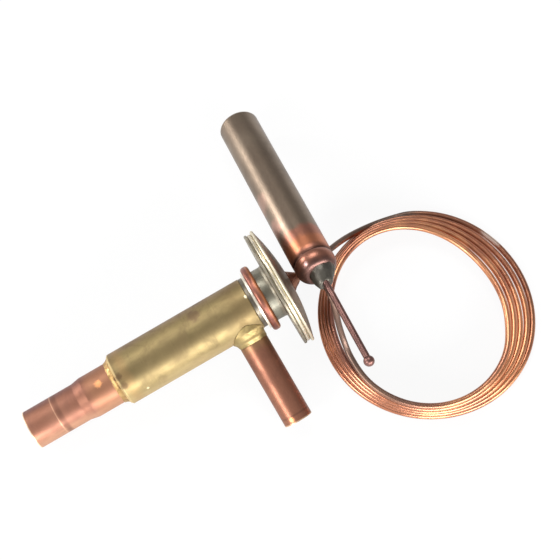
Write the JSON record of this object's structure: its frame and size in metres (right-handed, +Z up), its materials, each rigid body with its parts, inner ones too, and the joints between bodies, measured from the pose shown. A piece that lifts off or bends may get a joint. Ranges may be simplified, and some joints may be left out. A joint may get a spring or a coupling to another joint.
{
  "type": "thermostatic expansion valve",
  "caption": "Brass expansion valve body with copper stub tubes, a flat diaphragm head, and a remote bulb on a coiled capillary, lying at rest.",
  "frame": {"origin": "middle of the footprint without the capillary, on the surface the valve lies on", "axes": "+Z up, +X along the level line of the valve body towards its head; the inlet tube leaves towards -Y, the bulb lies towards +Y and the coil towards +X"},
  "size_m": [0.1653, 0.1268, 0.0391],
  "materials": {
    "brass_bar": "satin",
    "outlet_copper": "satin",
    "inlet_copper": "satin",
    "braze_flux": "satin",
    "braze_alloy": "satin",
    "ground_steel": "satin",
    "inner_brass": "satin",
    "seal_rubber": "matte",
    "spring_steel": "satin",
    "nickel_steel": "satin",
    "gasket_copper": "satin",
    "stainless": "satin",
    "weld_steel": "satin",
    "boss_braze": "satin",
    "strainer_mesh": "matte",
    "bulb_copper": "satin",
    "neck_braze": "satin",
    "dark_copper": "satin",
    "capillary_copper": "satin"
  },
  "bodies": {
    "valve": {"valve_body": "brass_bar", "outlet_tube": "outlet_copper", "outlet_braze": "braze_flux", "inlet_tube": "inlet_copper", "inlet_braze": "braze_alloy", "seat_insert": "ground_steel", "rod_guide": "inner_brass", "rod_seals": "seal_rubber", "adjusting_nut": "inner_brass", "superheat_spring": "spring_steel", "gasket_seat_collar": "nickel_steel", "gasket_ring": "gasket_copper", "head_lower_cup": "stainless", "head_upper_cap": "stainless", "rim_weld": "weld_steel", "diaphragm": "spring_steel", "capillary_braze": "boss_braze", "inlet_strainer": "strainer_mesh", "strainer_ferrule": "inner_brass", "bulb_shell": "bulb_copper", "bulb_neck_braze": "neck_braze", "charging_tube": "dark_copper", "charging_ball": "dark_copper", "capillary_lead_in": "capillary_copper", "capillary_coil": "capillary_copper", "capillary_lead_out": "capillary_copper"},
    "pin_carriage": {"buffer_plate": "nickel_steel", "push_rods": "ground_steel", "pin_carrier": "inner_brass", "valve_pin": "ground_steel"}
  },
  "joints": [
    {"name": "pin_lift", "type": "slide", "parent": "valve", "child": "pin_carriage", "axis": [0.9889, 0, 0.1485], "range_m": [0, 0.0005], "stiffness_N_per_m": 400, "springref_m": -0.0004, "deforming": ["superheat_spring", "diaphragm"]}
  ]
}
